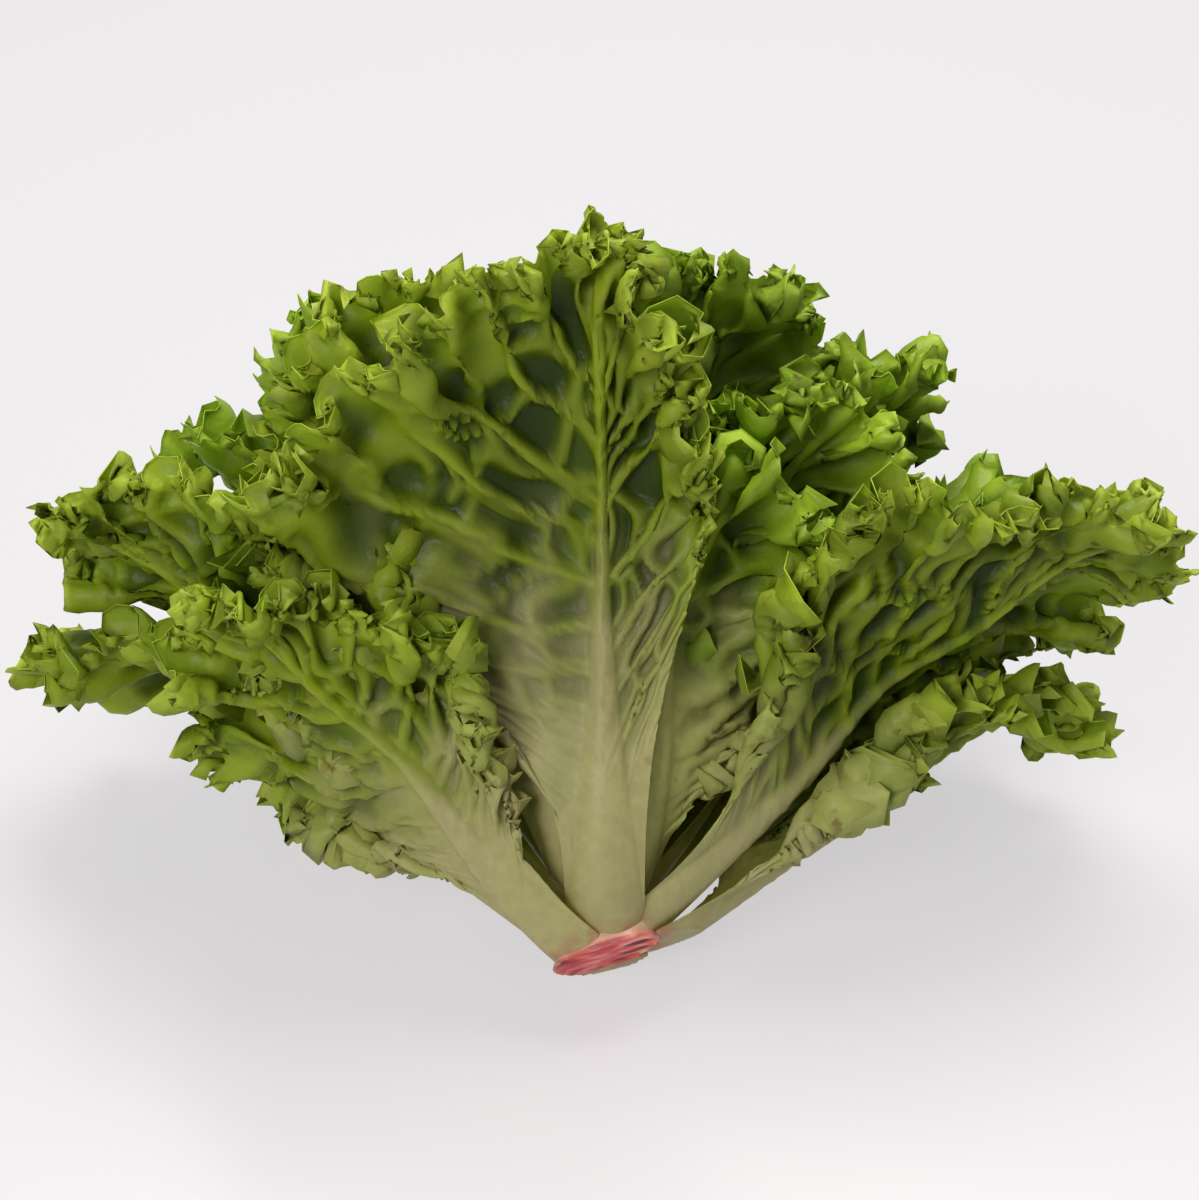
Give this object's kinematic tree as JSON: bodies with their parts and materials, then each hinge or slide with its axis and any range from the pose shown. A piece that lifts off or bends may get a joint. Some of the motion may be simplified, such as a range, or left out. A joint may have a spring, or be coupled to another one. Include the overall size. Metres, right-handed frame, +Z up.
{
  "type": "lollo bionda lettuce",
  "caption": "Head of frilled green leaf lettuce with a cut reddish stump, lying on its side, leaves fanning out from the stump.",
  "frame": {"origin": "middle of the head's footprint, on the surface that it lies on", "axes": "+Z up from that surface; +Y from the cut stump towards the leaf tips, level; +X to the right as seen from the stump"},
  "size_m": [0.277, 0.1722, 0.1864],
  "materials": {
    "stump": "moist cut stem, oxidised pink and red",
    "outer_leaf": "waxy green leaf, pale rib, satin",
    "middle_leaf": "waxy bright green leaf, satin",
    "heart_leaf": "tender yellow-green leaf, satin"
  },
  "bodies": {
    "root": {"stump": "stump", "outer_leaf_1": "outer_leaf", "outer_leaf_2": "outer_leaf", "outer_leaf_3": "outer_leaf", "outer_leaf_4": "outer_leaf", "outer_leaf_5": "outer_leaf", "outer_leaf_6": "outer_leaf", "outer_leaf_7": "outer_leaf", "outer_leaf_8": "outer_leaf", "outer_leaf_9": "outer_leaf", "middle_leaf_1": "middle_leaf", "middle_leaf_2": "middle_leaf", "middle_leaf_3": "middle_leaf", "middle_leaf_4": "middle_leaf", "middle_leaf_5": "middle_leaf", "middle_leaf_6": "middle_leaf", "middle_leaf_7": "middle_leaf", "middle_leaf_8": "middle_leaf", "middle_leaf_9": "middle_leaf", "middle_leaf_10": "middle_leaf", "middle_leaf_11": "middle_leaf", "middle_leaf_12": "middle_leaf", "heart_leaf_1": "heart_leaf", "heart_leaf_2": "heart_leaf", "heart_leaf_3": "heart_leaf", "heart_leaf_4": "heart_leaf", "heart_leaf_5": "heart_leaf", "heart_leaf_6": "heart_leaf", "heart_leaf_7": "heart_leaf"}
  },
  "joints": []
}
